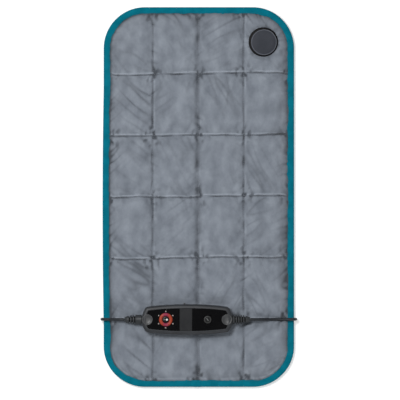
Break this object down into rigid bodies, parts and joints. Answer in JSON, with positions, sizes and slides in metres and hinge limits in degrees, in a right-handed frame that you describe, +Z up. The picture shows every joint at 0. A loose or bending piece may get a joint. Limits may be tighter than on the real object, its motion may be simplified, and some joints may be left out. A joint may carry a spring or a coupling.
{
  "type": "heating pad with controller",
  "caption": "Quilted rectangular heating pad with bound edge, round terminal housing, and an in-line hand controller with two keys, a side slider and a mains plug.",
  "frame": {"origin": "middle of the pad's footprint, on the surface that it lies on", "axes": "+Y along the pad towards the end with the round housing, +X to the right seen from the front, +Z up out of the front"},
  "size_m": [0.3198, 0.61, 0.043],
  "materials": {
    "plush": "short grey micro-plush with a soft sheen and fine wrinkles",
    "backing": "plain grey woven backing",
    "teal_tape": "ribbed teal binding tape, matte",
    "felt": "non-woven felt",
    "heating_wire": "silicone insulated wire",
    "charcoal": "satin charcoal moulded plastic, finely grained",
    "black_plastic": "matte black moulded plastic",
    "gloss_black": "polished black",
    "matte_band": "matte charcoal with fine ribs",
    "red_ring": "translucent red-orange ring",
    "white_light": "clear light guide, milky",
    "cord": "smooth dark grey PVC jacket",
    "board": "green lacquered circuit board",
    "white_plastic": "off-white plastic or ceramic",
    "amber_film": "amber capacitor case",
    "steel": "plated steel",
    "brass": "plated brass caps"
  },
  "bodies": {
    "root": {"heating_carrier": "felt", "heating_wire": "heating_wire", "thermal_cutout_1": "white_plastic", "thermal_cutout_2": "white_plastic", "top_quilt": "plush", "bottom_quilt": "backing", "edge_binding": "teal_tape", "connector_base": "black_plastic", "connector_cap": "charcoal", "connector_rear_housing": "black_plastic", "pad_lead_relief": "black_plastic", "terminal_block": "white_plastic", "connector_screw_1": "steel", "connector_screw_2": "steel", "connector_screw_3": "steel", "controller_lower_shell": "charcoal", "controller_upper_shell": "charcoal", "shell_screw_1": "steel", "shell_screw_2": "steel", "shell_screw_3": "steel", "shell_screw_4": "steel", "left_panel": "gloss_black", "right_panel": "gloss_black", "centre_band": "matte_band", "light_ring": "red_ring", "level_switch_base": "black_plastic", "power_switch_base": "black_plastic", "level_light_guide": "white_light", "level_lamp_1": "white_plastic", "level_lamp_2": "white_plastic", "level_lamp_3": "white_plastic", "level_lamp_4": "white_plastic", "level_lamp_5": "white_plastic", "level_lamp_6": "white_plastic", "slide_switch": "steel", "circuit_board": "board", "film_capacitor": "amber_film", "triac": "black_plastic", "control_chip": "black_plastic", "fuse_tube": "brass", "right_strain_relief": "black_plastic", "left_strain_relief": "black_plastic", "mains_coil": "cord", "pad_lead": "cord", "mains_lead": "cord", "plug_lead": "cord", "cord_tie": "black_plastic", "plug_body": "black_plastic", "plug_blade_1": "steel", "plug_blade_2": "steel"},
    "level_button": {"level_key": "gloss_black", "level_switch_plunger": "white_plastic"},
    "power_button": {"power_key": "gloss_black", "power_switch_plunger": "white_plastic"},
    "slider": {"power_slider": "black_plastic"}
  },
  "joints": [
    {"name": "level_press", "type": "slide", "parent": "root", "child": "level_button", "axis": [0, 0, -1], "range_m": [0, 0.0008], "stiffness_N_per_m": 1500},
    {"name": "power_press", "type": "slide", "parent": "root", "child": "power_button", "axis": [0, 0, -1], "range_m": [0, 0.0008], "stiffness_N_per_m": 1500},
    {"name": "slider_travel", "type": "slide", "parent": "root", "child": "slider", "axis": [1, 0, 0], "range_m": [0, 0.004]}
  ]
}
